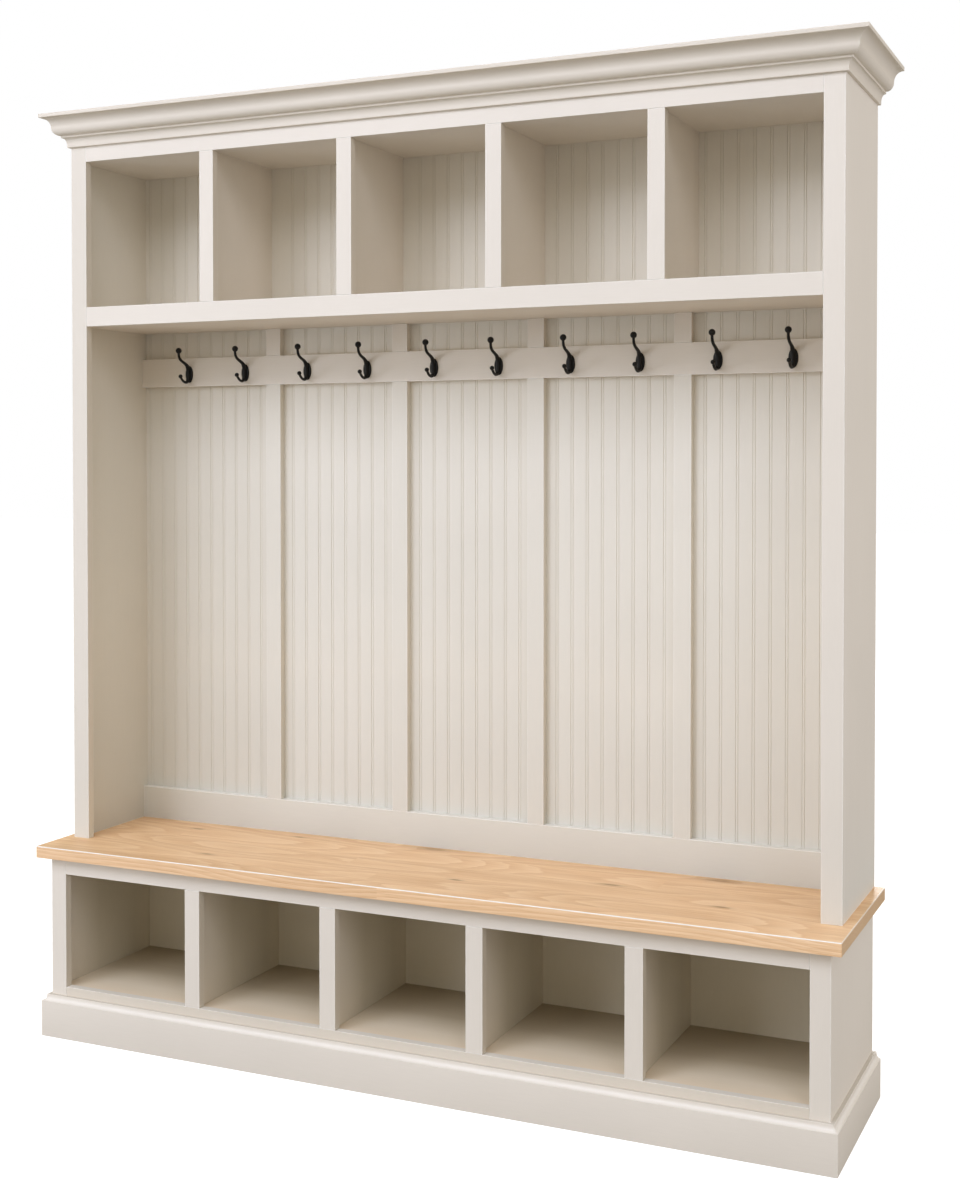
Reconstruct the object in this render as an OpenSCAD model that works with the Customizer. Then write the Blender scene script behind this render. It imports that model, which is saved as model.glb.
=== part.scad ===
// Open hall locker: cubby base, oak bench, hutch with coat hooks, cubbies and a crown.
// X runs to the right, Y to the wall, Z up. The origin is under the middle of the footprint.

/* [Overall] */
// Width of the hutch over its side panels
hutch_w = 1900; // [1600:10:2200]
// Depth of the hutch from the wall to its face frame
hutch_d = 338; // [300:2:400]
// Width of the base over its side panels
base_w = 1894; // [1594:2:2194]
// Depth of the base from the wall to its face frame
base_d = 428; // [400:2:500]
// Height of the bench's top face
seat_h = 463; // [430:1:500]
// Height of the crown's top face
total_h = 2244; // [2200:1:2300]

/* [Boards] */
// Thickness of the side, divider, floor and ceiling panels
panel_t = 18; // [15:1:22]
// Thickness of the face frame
frame_t = 20; // [18:1:25]
// Thickness of the grooved back panels
back_t = 12; // [9:1:15]
// Thickness of the rails and battens on the back
rail_t = 18; // [12:1:22]
// Gap between the backs and the wall, filled by the cleats
wall_gap = 45; // [30:1:60]

/* [Bench] */
// Thickness of the bench board
bench_t = 28; // [24:1:40]
// How far the bench passes the base at the front and the ends
bench_lip = 26; // [15:1:40]

/* [Hutch face frame] */
// Width of the outer stiles
stile_w = 44; // [38:1:60]
// Width of the cubby mullions
mullion_w = 38; // [30:1:50]
// Centre-to-centre distance of the cubbies
cubby_pitch = 371; // [340:1:380]
// Height of the mid rail's lower edge
mid_rail_z = 1726; // [1700:1:1750]
// Height of the mid rail itself
mid_rail_h = 47; // [38:1:60]
// Clear height of the cubbies
cubby_h = 356; // [330:1:365]

/* [Base face frame] */
// Width of the base's outer stiles
base_stile_w = 42; // [38:1:60]
// Width of the base's mullions
base_mullion_w = 40; // [30:1:50]
// Centre-to-centre distance of the base cubbies
base_pitch = 361; // [340:1:375]
// Height of the top edge of the bottom rail
base_sill_z = 121; // [115:1:130]
// Visible height of the base's top rail
base_top_rail_h = 40; // [30:1:60]

/* [Back of the hanging space] */
// Width of the battens
batten_w = 41; // [30:1:50]
// Centre-to-centre distance of the battens
batten_pitch = 356; // [340:1:370]
// Height of the hook rail's lower edge
hook_rail_z = 1588; // [1550:1:1600]
// Height of the hook rail itself
hook_rail_h = 72; // [60:1:90]
// Height of the rail at the foot of the back
foot_rail_h = 81; // [60:1:100]
// Centre-to-centre distance of the grooves in the back
groove_pitch = 37.4; // [34:0.2:38]

/* [Coat hooks] */
// Centre-to-centre distance of the pairs of hooks
hook_pair_pitch = 350; // [340:1:356]
// Distance between the two hooks of a pair
hook_spacing = 169; // [150:1:180]
// Height of the hook plates' centre above the hook rail's lower edge
hook_rise = 31; // [28:1:36]

/* [Mouldings] */
// Height of the crown
crown_h = 78; // [70:1:90]
// How far the crown stands out from the hutch
crown_out = 56; // [45:1:65]
// Height of the plinth
plinth_h = 100; // [90:1:110]
// Thickness of the plinth
plinth_t = 18; // [15:1:22]

/* [Hidden] */
$fn = 48;
bays = 5;
wall_y = (base_d + bench_lip) / 2;
hutch_x = hutch_w / 2;
base_x = base_w / 2;
bench_z = seat_h - bench_t;
back_near = wall_gap + back_t;
rail_near = back_near + rail_t;
cubby_z = mid_rail_z + mid_rail_h;
top_rail_z = cubby_z + cubby_h;
ceiling_z = top_rail_z + 1;
carcass_z = total_h - 19;
crown_z = total_h - crown_h;
shelf_z = mid_rail_z + 1;
floor_z = base_sill_z - 3;
hook_z = hook_rail_z + hook_rise;
inner_x = hutch_x - panel_t;
base_inner_x = base_x - panel_t;
sub_top_z = bench_z - panel_t;
cleat_h = 70;
seam = 0.4;

// V-groove of the back, with a narrow flat at its bottom
groove_w = 3.2;
groove_d = 1.8;
groove_flat = 0.4;
grooves_per_bay = 8;
grooves_past_bays = 2;

// Coat hook: a plate with a rib, a long upper arm and a short lower prong
plate_w = 21;
plate_h = 43;
plate_t = 3.5;
rib_r = 3.6;
arm_r = 2.8;
prong_r = 2.4;
upper_ball_r = 6.6;
lower_ball_r = 4.4;
screw_r = 1.7;
screw_head_r = 2.9;
screw_x = 6.8;
screw_len = 38;
joint_gap = 1.3;
joint_ratio = 1.12;

// Wall screws, bench screws and dowels
wall_hole_r = 3;
wall_hole_x = 600;
bench_screw_r = 2;
bench_screw_len = 36;
bench_screw_x = [-760, -360, 0, 360, 760];
bench_screw_depths = [60, 250, 380];
dowel_r = 4;
dowel_len = 40;
dowel_in_bench = 16;
dowel_depths = [70, 180, 290];

paint = [0.87, 0.84, 0.80];
oak = [0.90, 0.76, 0.60];
black = [0.05, 0.05, 0.05];
pine = [0.80, 0.68, 0.50];

single_nodes = [
    "base_left_side", "base_right_side", "base_floor", "base_sub_top", "base_back",
    "base_rear_rail", "floor_bearers", "base_left_stile", "base_right_stile",
    "base_top_rail", "base_bottom_rail", "plinth_front", "plinth_left", "plinth_right",
    "bench_top", "bench_screws", "hutch_dowels", "hutch_left_side", "hutch_right_side",
    "hutch_left_stile", "hutch_right_stile", "hutch_top_rail", "mid_rail", "ceiling_panel",
    "mid_shelf", "cubby_back", "hanging_back", "hook_rail", "foot_rail",
    "upper_battens", "hook_cleat", "lower_cleat", "top_wall_rail",
    "crown_front", "crown_left", "crown_right", "coat_hooks", "hook_screws"
];
repeated_nodes = ["base_divider", "base_mullion", "cubby_divider", "cubby_mullion", "lower_batten"];

// Place of the i-th of the four uprights between five bays
function upright_x(i, pitch) = (i - bays / 2) * pitch;

// Places of the ten hooks
hook_xs = [for (bay = [-2 : 2]) for (side = [-1, 1]) bay * hook_pair_pitch + side * hook_spacing / 2];

// Points of an arc, from angle a0 to a1, with different radii across and up
function arc(cx, cy, rx, ry, a0, a1, steps) = [
    for (i = [0 : steps]) let (a = a0 + (a1 - a0) * i / steps) [cx + rx * cos(a), cy + ry * sin(a)]
];

// A board between two X places, two depths from the wall and two heights
module board(x0, x1, near, far, z0, z1) {
    translate([x0, wall_y - far, z0]) cube([x1 - x0, far - near, z1 - z0]);
}

// A round bar along +Y, from a depth from the wall towards it
module bar_to_wall(x, far, z, r, length) {
    translate([x, wall_y - far, z]) rotate([-90, 0, 0]) cylinder(r = r, h = length);
}

// ---- Base ----

module base_side(side) {
    x = side * (base_x - panel_t / 2);
    color(paint) board(x - panel_t / 2, x + panel_t / 2, 0, base_d - frame_t, 0, bench_z);
}

module base_floor() {
    color(paint) board(-base_inner_x, base_inner_x, 0, base_d - frame_t, floor_z - panel_t, floor_z);
}

module base_sub_top() {
    color(paint) difference() {
        board(-base_inner_x, base_inner_x, 0, base_d - frame_t, sub_top_z, bench_z);
        bench_screw_shanks();
    }
}

module base_divider(i) {
    x = upright_x(i, base_pitch);
    color(paint) board(x - panel_t / 2, x + panel_t / 2, back_near, base_d - frame_t, floor_z, sub_top_z);
}

module base_back() {
    color(paint) board(-base_inner_x, base_inner_x, wall_gap, back_near, floor_z, sub_top_z);
}

module base_rear_rail() {
    color(pine) board(-base_inner_x, base_inner_x, 0, wall_gap, sub_top_z - cleat_h, sub_top_z);
}

module floor_bearers() {
    color(pine) for (i = [1 : bays - 1]) {
        x = upright_x(i, base_pitch);
        board(x - panel_t / 2, x + panel_t / 2, 0, base_d - frame_t, 0, floor_z - panel_t);
    }
}

module base_stile(side) {
    x = side * (base_x - base_stile_w / 2);
    color(paint) board(x - base_stile_w / 2, x + base_stile_w / 2, base_d - frame_t, base_d, 0, bench_z);
}

module base_rail(z0, z1) {
    x = base_x - base_stile_w - seam / 2;
    color(paint) board(-x, x, base_d - frame_t, base_d, z0, z1);
}

module base_mullion(i) {
    x = upright_x(i, base_pitch);
    z1 = bench_z - base_top_rail_h - seam / 2;
    color(paint) board(x - base_mullion_w / 2, x + base_mullion_w / 2, base_d - frame_t, base_d,
        base_sill_z + seam / 2, z1);
}

// Plinth section: height up, outward to the right; ledge, cove, then a plain face
module plinth_section() {
    ledge = 8;
    cove_w = plinth_t - ledge - 1;
    cove_h = 12;
    polygon(concat(
        [[0, 0], [plinth_t, 0]],
        [for (p = arc(plinth_t, plinth_h - 2, cove_w, cove_h, 270, 180, 10)) p],
        [[ledge + 1, plinth_h], [0, plinth_h]]
    ));
}

// ---- Mouldings mitred at the front corners ----

// Straight run of a section along X, standing on the face at a depth and centred
module run_along_front(half, depth, z) {
    translate([-half, wall_y - depth, z]) rotate([90, 0, 90]) mirror([1, 0, 0])
        linear_extrude(2 * half) children();
}

// Straight run of a section along Y, standing on a side face
module run_along_side(side, x, length, z) {
    translate([side * x, wall_y, z]) rotate([90, 0, 0])
        linear_extrude(length) mirror([side < 0 ? 1 : 0, 0, 0]) children();
}

// Plan of a mitred front piece
module front_mitre(x, depth, out, z, h) {
    translate([0, wall_y, z]) linear_extrude(h)
        polygon([[-x, -depth], [-x - out, -depth - out], [x + out, -depth - out], [x, -depth]]);
}

// Plan of a mitred side piece
module side_mitre(side, x, depth, out, z, h) {
    translate([0, wall_y, z]) linear_extrude(h) mirror([side < 0 ? 1 : 0, 0, 0])
        polygon([[x, 0], [x, -depth], [x + out, -depth - out], [x + out, 0]]);
}

module plinth_front() {
    color(paint) intersection() {
        run_along_front(base_x + plinth_t, base_d, 0) plinth_section();
        front_mitre(base_x, base_d, plinth_t, 0, plinth_h);
    }
}

module plinth_side(side) {
    color(paint) intersection() {
        run_along_side(side, base_x, base_d + plinth_t, 0) plinth_section();
        side_mitre(side, base_x, base_d, plinth_t, 0, plinth_h);
    }
}

// Crown section: lower cove on a fillet, step, ogee, top fillet
module crown_section() {
    lower_out = 7;
    step_out = 17.5;
    step_z = 23;
    step_h = 5;
    bend_out = 34;
    bend_z = 46;
    lip_out = 53;
    lip_z = 69;
    polygon(concat(
        [[0, 0], [lower_out - 1, 0], [lower_out, 1]],
        [for (p = arc(step_out - 1.5, 6, step_out - 1.5 - lower_out, step_z - 6, 180, 90, 10)) p],
        [[step_out, step_z], [step_out, step_z + step_h]],
        [for (p = arc(step_out + 1, bend_z, bend_out - step_out - 1, bend_z - step_z - step_h, 270, 360, 10)) p],
        [for (p = arc(lip_out, bend_z, lip_out - bend_out, lip_z - bend_z, 180, 90, 12)) if (p[1] > bend_z) p],
        [[crown_out, lip_z], [crown_out, crown_h], [0, crown_h]]
    ));
}

module crown_front() {
    color(paint) intersection() {
        run_along_front(hutch_x + crown_out, hutch_d, crown_z) crown_section();
        front_mitre(hutch_x, hutch_d, crown_out, crown_z, crown_h);
    }
}

module crown_side(side) {
    color(paint) intersection() {
        run_along_side(side, hutch_x, hutch_d + crown_out, crown_z) crown_section();
        side_mitre(side, hutch_x, hutch_d, crown_out, crown_z, crown_h);
    }
}

// ---- Bench ----

module bench_screw_shanks() {
    for (x = bench_screw_x) for (depth = bench_screw_depths)
        translate([x, wall_y - depth, sub_top_z]) cylinder(r = bench_screw_r, h = bench_screw_len);
}

module bench_screws() {
    head_h = 2;
    color("silver") {
        bench_screw_shanks();
        for (x = bench_screw_x) for (depth = bench_screw_depths)
            translate([x, wall_y - depth, sub_top_z - head_h]) cylinder(r = 2 * bench_screw_r, h = head_h);
    }
}

module hutch_dowels() {
    color(pine) for (side = [-1, 1]) for (depth = dowel_depths)
        translate([side * (hutch_x - panel_t / 2), wall_y - depth, seat_h - dowel_in_bench])
            cylinder(r = dowel_r, h = dowel_len);
}

module bench_top() {
    color(oak) difference() {
        board(-base_x - bench_lip, base_x + bench_lip, 0, base_d + bench_lip, bench_z, seat_h);
        bench_screw_shanks();
        hutch_dowels();
    }
}

// ---- Hutch ----

module hutch_side(side) {
    x = side * (hutch_x - panel_t / 2);
    color(paint) difference() {
        board(x - panel_t / 2, x + panel_t / 2, 0, hutch_d - frame_t, seat_h, carcass_z);
        hutch_dowels();
    }
}

module hutch_stile(side) {
    x = side * (hutch_x - stile_w / 2);
    color(paint) board(x - stile_w / 2, x + stile_w / 2, hutch_d - frame_t, hutch_d, seat_h, carcass_z);
}

module hutch_rail(z0, z1) {
    x = hutch_x - stile_w - seam / 2;
    color(paint) board(-x, x, hutch_d - frame_t, hutch_d, z0, z1);
}

module cubby_mullion(i) {
    x = upright_x(i, cubby_pitch);
    color(paint) board(x - mullion_w / 2, x + mullion_w / 2, hutch_d - frame_t, hutch_d,
        cubby_z + seam / 2, top_rail_z - seam / 2);
}

module mid_shelf() {
    color(paint) board(-inner_x, inner_x, 0, hutch_d - frame_t, shelf_z, shelf_z + panel_t);
}

module ceiling_panel() {
    color(paint) board(-inner_x, inner_x, 0, hutch_d - frame_t, ceiling_z, ceiling_z + panel_t);
}

module cubby_divider(i) {
    x = upright_x(i, cubby_pitch);
    color(paint) board(x - panel_t / 2, x + panel_t / 2, back_near, hutch_d - frame_t,
        shelf_z + panel_t, ceiling_z);
}

// Places of the grooves: the same set in each bay between battens, and two more at each end
function groove_xs() = let (last = (grooves_per_bay - 1) / 2, end_bay = (bays - 1) / 2) concat(
    [for (j = [grooves_past_bays : -1 : 1]) -end_bay * batten_pitch - (last + j) * groove_pitch],
    [for (bay = [-end_bay : end_bay]) for (j = [-last : last]) bay * batten_pitch + j * groove_pitch],
    [for (j = [1 : grooves_past_bays]) end_bay * batten_pitch + (last + j) * groove_pitch]
);

// Section of the grooved back, across X, with the face on the room's side
module grooved_section() {
    polygon(concat(
        [[-inner_x, back_t], [-inner_x, 0]],
        [for (x = groove_xs()) each [
            [x - groove_w / 2, 0], [x - groove_flat / 2, groove_d],
            [x + groove_flat / 2, groove_d], [x + groove_w / 2, 0]
        ]],
        [[inner_x, 0], [inner_x, back_t]]
    ));
}

module grooved_back(z0, z1) {
    translate([0, wall_y - back_near, z0]) linear_extrude(z1 - z0) grooved_section();
}

module cubby_back() {
    color(paint) grooved_back(shelf_z + panel_t, ceiling_z);
}

module hanging_back() {
    color(paint) difference() {
        grooved_back(seat_h, shelf_z);
        hook_screw_shanks();
    }
}

module hook_rail() {
    color(paint) difference() {
        board(-inner_x, inner_x, back_near, rail_near, hook_rail_z, hook_rail_z + hook_rail_h);
        hook_screw_shanks();
    }
}

module foot_rail() {
    color(paint) board(-inner_x, inner_x, back_near, rail_near, seat_h, seat_h + foot_rail_h);
}

module batten(i, z0, z1) {
    x = upright_x(i, batten_pitch);
    color(paint) board(x - batten_w / 2, x + batten_w / 2, back_near, rail_near, z0, z1);
}

module lower_batten(i) {
    batten(i, seat_h + foot_rail_h + seam / 2, hook_rail_z - seam / 2);
}

module upper_battens() {
    for (i = [1 : bays - 1]) batten(i, hook_rail_z + hook_rail_h + seam / 2, shelf_z);
}

module hook_cleat() {
    margin = (90 - hook_rail_h) / 2;
    color(pine) difference() {
        board(-inner_x, inner_x, 0, wall_gap, hook_rail_z - margin, hook_rail_z + hook_rail_h + margin);
        hook_screw_shanks();
    }
}

module lower_cleat() {
    color(pine) board(-inner_x, inner_x, 0, wall_gap, seat_h, seat_h + cleat_h);
}

module top_wall_rail() {
    color(pine) difference() {
        board(-inner_x, inner_x, 0, panel_t, ceiling_z + panel_t, carcass_z);
        for (side = [-1, 1])
            bar_to_wall(side * wall_hole_x, panel_t + 1, (ceiling_z + panel_t + carcass_z) / 2, wall_hole_r,
                panel_t + 2);
    }
}

// ---- Coat hooks ----

// Places the hook's own plane, depth out of the rail across and height up, at one hook
module at_hook(x) {
    translate([x, wall_y - rail_near, hook_z]) rotate([90, 0, -90]) children();
}

// Places a shape's own axis at a point in the hook's plane, along a direction in that plane
module on_rod(p, d) {
    translate([p[0], p[1], 0]) rotate([0, 0, atan2(d[1], d[0])]) rotate([0, 90, 0]) children();
}

// A straight round rod in the hook's plane, from just past one point to just short of another
module straight_rod(p, q, r) {
    on_rod(p, q - p) translate([0, 0, joint_gap / 2]) cylinder(r = r, h = norm(q - p) - joint_gap);
}

// Straight rods through points in the hook's plane, joined by a small ball at each bend, with a ball at the end
module rod_run(points, r, end_r) {
    last = len(points) - 1;
    for (i = [1 : last]) straight_rod(points[i - 1], points[i], r);
    for (i = [1 : last - 1]) on_rod(points[i], points[i + 1] - points[i - 1]) sphere(r = joint_ratio * r);
    on_rod(points[last], points[last] - points[last - 1]) sphere(r = end_r);
}

function along(centre, bend_r, a) = centre + bend_r * [cos(a), sin(a)];

// Points of a bend about a centre, from one angle to another
function bend(centre, bend_r, a0, a1, steps) = [
    for (i = [0 : steps]) along(centre, bend_r, a0 + (a1 - a0) * i / steps)
];

module hook_plate() {
    outline = arc(0, 0, plate_h / 2, plate_w / 2, 0, 345, 23);
    rotate([0, 90, 0]) rotate([0, 0, 90]) linear_extrude(plate_t) polygon(outline);
}

module upper_arm() {
    lean = 22;
    foot = [4, 8];
    bend_1 = 9;
    bend_2 = 13;
    run = 33;
    neck = 9;
    centre_1 = foot + [bend_1, 8];
    start_2 = along(centre_1, bend_1, 90 + lean) + run * [cos(lean), sin(lean)];
    centre_2 = start_2 + bend_2 * [-sin(lean), cos(lean)];
    tip = along(centre_2, bend_2, 0) + [0, neck];
    rod_run(concat([foot], bend(centre_1, bend_1, 180, 90 + lean, 3), bend(centre_2, bend_2, lean - 90, 0, 3),
        [tip]), arm_r, upper_ball_r);
}

module lower_prong() {
    foot = [4, -8];
    bend_1 = 8;
    bend_2 = 34;
    rise = 42;
    neck = 7;
    centre_1 = foot + [bend_1, -5];
    centre_2 = centre_1 + [0, bend_2 - bend_1];
    tip = along(centre_2, bend_2, rise - 90) + neck * [cos(rise), sin(rise)];
    bend_2_points = bend(centre_2, bend_2, -90, rise - 90, 2);
    rod_run(concat([foot], bend(centre_1, bend_1, 180, 270, 4), [bend_2_points[1], bend_2_points[2], tip]),
        prong_r, lower_ball_r);
}

module hook_rib() {
    straight_rod([4, -10], [4, 10], rib_r);
}

module hook_screw_shanks() {
    for (x = hook_xs) for (side = [-1, 1])
        bar_to_wall(x + side * screw_x, rail_near + plate_t, hook_z, screw_r, screw_len);
}

module hook_screws() {
    head_t = 1.6;
    color(black) {
        hook_screw_shanks();
        for (x = hook_xs) for (side = [-1, 1])
            bar_to_wall(x + side * screw_x, rail_near + plate_t + head_t, hook_z, screw_head_r, head_t);
    }
}

module coat_hooks() {
    color(black) difference() {
        for (x = hook_xs) at_hook(x) {
            hook_plate();
            hook_rib();
            upper_arm();
            lower_prong();
        }
        hook_screw_shanks();
    }
}

// ---- Nodes ----

base_side(-1);  // base_left_side
base_side(1);  // base_right_side
base_floor();
base_sub_top();
base_back();
base_rear_rail();
floor_bearers();
base_stile(-1);  // base_left_stile
base_stile(1);  // base_right_stile
base_rail(bench_z - base_top_rail_h, bench_z);  // base_top_rail
base_rail(plinth_h / 2, base_sill_z);  // base_bottom_rail
plinth_front();
plinth_side(-1);  // plinth_left
plinth_side(1);  // plinth_right
bench_top();
bench_screws();
hutch_dowels();
hutch_side(-1);  // hutch_left_side
hutch_side(1);  // hutch_right_side
hutch_stile(-1);  // hutch_left_stile
hutch_stile(1);  // hutch_right_stile
hutch_rail(top_rail_z, carcass_z);  // hutch_top_rail
hutch_rail(mid_rail_z, cubby_z);  // mid_rail
ceiling_panel();
mid_shelf();
cubby_back();
hanging_back();
hook_rail();
foot_rail();
upper_battens();
hook_cleat();
lower_cleat();
top_wall_rail();
crown_front();
crown_side(-1);  // crown_left
crown_side(1);  // crown_right
coat_hooks();
hook_screws();
for (i = [1 : bays - 1]) {
    base_divider(i);
    base_mullion(i);
    cubby_divider(i);
    cubby_mullion(i);
    lower_batten(i);
}
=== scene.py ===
"""Looks of the open hall locker: painted boards, oak bench, black coat hooks, mouldings."""
import math

import bmesh
import bpy
from mathutils import Matrix, Vector


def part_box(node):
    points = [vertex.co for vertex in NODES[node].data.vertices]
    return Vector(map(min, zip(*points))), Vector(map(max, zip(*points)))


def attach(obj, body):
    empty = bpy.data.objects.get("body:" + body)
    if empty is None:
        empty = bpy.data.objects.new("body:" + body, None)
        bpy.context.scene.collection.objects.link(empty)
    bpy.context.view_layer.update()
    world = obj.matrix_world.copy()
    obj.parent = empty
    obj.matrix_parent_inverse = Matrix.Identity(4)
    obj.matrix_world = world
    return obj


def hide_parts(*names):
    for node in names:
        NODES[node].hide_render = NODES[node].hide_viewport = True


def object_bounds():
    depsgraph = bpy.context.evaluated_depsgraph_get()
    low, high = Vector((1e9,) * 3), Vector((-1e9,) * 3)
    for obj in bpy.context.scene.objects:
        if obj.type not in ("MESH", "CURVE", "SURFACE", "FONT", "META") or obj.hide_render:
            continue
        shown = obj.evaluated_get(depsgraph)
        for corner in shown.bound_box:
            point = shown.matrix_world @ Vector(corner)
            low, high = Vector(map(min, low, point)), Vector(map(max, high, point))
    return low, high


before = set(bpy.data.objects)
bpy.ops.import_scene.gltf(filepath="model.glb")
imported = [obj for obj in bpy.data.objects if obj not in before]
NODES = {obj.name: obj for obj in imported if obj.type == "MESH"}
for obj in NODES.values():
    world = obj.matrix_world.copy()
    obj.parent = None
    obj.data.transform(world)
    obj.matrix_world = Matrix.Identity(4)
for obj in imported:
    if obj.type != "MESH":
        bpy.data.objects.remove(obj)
cad_low, cad_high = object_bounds()
MM = 0.001

# ---------------------------------------------------------------- node lists

HORIZONTAL_PAINT = [
    "base_floor", "base_sub_top", "base_top_rail", "base_bottom_rail", "hutch_top_rail",
    "mid_rail", "ceiling_panel", "mid_shelf", "hook_rail", "foot_rail", "base_back",
]
VERTICAL_PAINT = [
    "base_left_side", "base_right_side", "base_left_stile", "base_right_stile",
    "hutch_left_side", "hutch_right_side", "hutch_left_stile", "hutch_right_stile",
    "upper_battens",
] + [
    f"{name}_{i}"
    for name in ("base_divider", "base_mullion", "cubby_divider", "cubby_mullion", "lower_batten")
    for i in range(1, 5)
]
SOFTWOOD = ["base_rear_rail", "floor_bearers", "hook_cleat", "lower_cleat", "top_wall_rail"]
DRILLED = [
    "base_sub_top", "hutch_left_side", "hutch_right_side", "hook_rail", "hook_cleat", "top_wall_rail",
]


# ---------------------------------------------------------------- shader helpers

def new_material(name):
    material = bpy.data.materials.new(name)
    material.use_nodes = True
    tree = material.node_tree
    return material, tree, tree.nodes["Principled BSDF"]


def node(tree, kind, inputs=None, **settings):
    """A node of a kind, with its settings and its inputs: a value, or a socket to link."""
    made = tree.nodes.new(kind)
    for key, value in settings.items():
        setattr(made, key, value)
    for key, value in (inputs or {}).items():
        if isinstance(value, bpy.types.NodeSocket):
            tree.links.new(value, made.inputs[key])
        else:
            made.inputs[key].default_value = value
    return made


def ramp(tree, factor, stops):
    """A colour ramp through (position, grey or colour) stops."""
    made = node(tree, "ShaderNodeValToRGB", {"Fac": factor})
    elements = made.color_ramp.elements
    while len(elements) < len(stops):
        elements.new(0.5)
    for element, (position, value) in zip(elements, stops):
        element.position = position
        rgb = value if isinstance(value, tuple) else (value,) * 3
        element.color = (*rgb, 1)
    return made.outputs["Color"]


def mix(tree, factor, a, b, blend="MIX"):
    made = node(tree, "ShaderNodeMix", data_type="RGBA", blend_type=blend)
    for socket, value in ((made.inputs[0], factor), (made.inputs[6], a), (made.inputs[7], b)):
        if isinstance(value, bpy.types.NodeSocket):
            tree.links.new(value, socket)
        elif isinstance(value, tuple):
            socket.default_value = (*value, 1)
        else:
            socket.default_value = value
    return made.outputs[2]


def math_node(tree, operation, a, b=0.0):
    return node(tree, "ShaderNodeMath", {0: a, 1: b}, operation=operation).outputs[0]


def object_coordinates(tree, scale=(1, 1, 1)):
    coordinates = node(tree, "ShaderNodeTexCoord")
    mapped = node(tree, "ShaderNodeMapping", {"Vector": coordinates.outputs["Object"], "Scale": scale})
    return mapped.outputs["Vector"]


def noise(tree, vector, scale, detail, roughness=0.5):
    made = node(tree, "ShaderNodeTexNoise", {
        "Vector": vector, "Scale": scale, "Detail": detail, "Roughness": roughness,
    })
    return made.outputs["Fac"]


def multiplied(tree, colour, *layers):
    """A colour times each of some tones."""
    for layer in layers:
        colour = mix(tree, 1.0, colour, layer, "MULTIPLY")
    return colour


def bumped(tree, shader, height, strength, distance):
    """Gives a surface a fine relief."""
    bump = node(tree, "ShaderNodeBump", {"Height": height, "Strength": strength, "Distance": distance})
    tree.links.new(bump.outputs[0], shader.inputs["Normal"])


# ---------------------------------------------------------------- paint

PAINT = (0.780, 0.705, 0.605)
# A paler paint for painted highlights
PAINT_HIGHLIGHT = (0.96, 0.925, 0.87)
# A dark grey for painted shade on a flat top
PAINT_TOP_SHADE = (0.60, 0.55, 0.485)
ARRIS_RADIUS = 0.0030
# Scales that stretch the grain of the brush along a board's length
BRUSHED_UP = (6.0, 6.0, 0.35)
BRUSHED_ACROSS = (0.35, 6.0, 6.0)

# Painted shade, greyer, low above the bench and most on the back: (share of the band above the bench, tone)
BENCH_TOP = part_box("bench_top")[1].z
BENCH_SHADE_BAND = 0.42
BENCH_SHADE_BACK = [(0.0, (0.755, 0.81, 0.85)), (0.18, (0.845, 0.90, 0.93)), (1.0, (0.975, 1.0, 1.0))]
BENCH_SHADE_POST = [(0.0, (0.88, 0.94, 0.98)), (0.20, (0.955, 0.975, 0.985)), (0.6, (1.0, 1.0, 1.0))]

# Painted shade deepening away from the base's front, painted light at its floor's front: (share of depth,
# tone)
BASE_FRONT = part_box("base_top_rail")[0].y
BASE_DEPTH = 0.36
BOARD_T = 0.018
BASE_INNER_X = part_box("base_right_side")[1].x - BOARD_T / 2
INNER_WALL_SHADING = [
    (0.10, (1.0, 1.0, 1.0)), (0.45, (0.74, 0.735, 0.67)), (0.85, (0.75, 0.75, 0.685)),
    (1.0, (0.88, 0.88, 0.82)),
]
INNER_FLOOR_SHADING = [
    (0.05, (1.20, 1.13, 1.03)), (0.25, (1.07, 1.03, 0.95)), (0.54, (0.66, 0.61, 0.51)),
    (1.0, (0.49, 0.44, 0.35)),
]


def bench_shade_tone(tree, even, stops):
    """Painted shade, by height above the bench."""
    height = node(tree, "ShaderNodeSeparateXYZ", {"Vector": even}).outputs["Z"]
    share = node(tree, "ShaderNodeMapRange", {"Value": height, 1: BENCH_TOP, 2: BENCH_TOP + BENCH_SHADE_BAND})
    return ramp(tree, share.outputs[0], stops)


def inner_shading(tree, even, stops):
    """Painted shade and light, by depth behind the base's front, and the first stop's outside the base."""
    place = node(tree, "ShaderNodeSeparateXYZ", {"Vector": even}).outputs
    depth = node(tree, "ShaderNodeMapRange", {
        "Value": place["Y"], 1: BASE_FRONT, 2: BASE_FRONT + BASE_DEPTH})
    within = math_node(tree, "LESS_THAN", math_node(tree, "ABSOLUTE", place["X"]), BASE_INNER_X)
    return ramp(tree, math_node(tree, "MULTIPLY", depth.outputs[0], within), stops)


def arris_mask(tree, normal):
    """1 near a board's arrises and 0 on its faces."""
    bevel = node(tree, "ShaderNodeBevel", {"Radius": ARRIS_RADIUS}, samples=8)
    turned = node(tree, "ShaderNodeVectorMath", {0: bevel.outputs[0], 1: normal}, operation="DOT_PRODUCT")
    return ramp(tree, turned.outputs["Value"], [(0.90, 1.0), (0.995, 0.0)])


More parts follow.
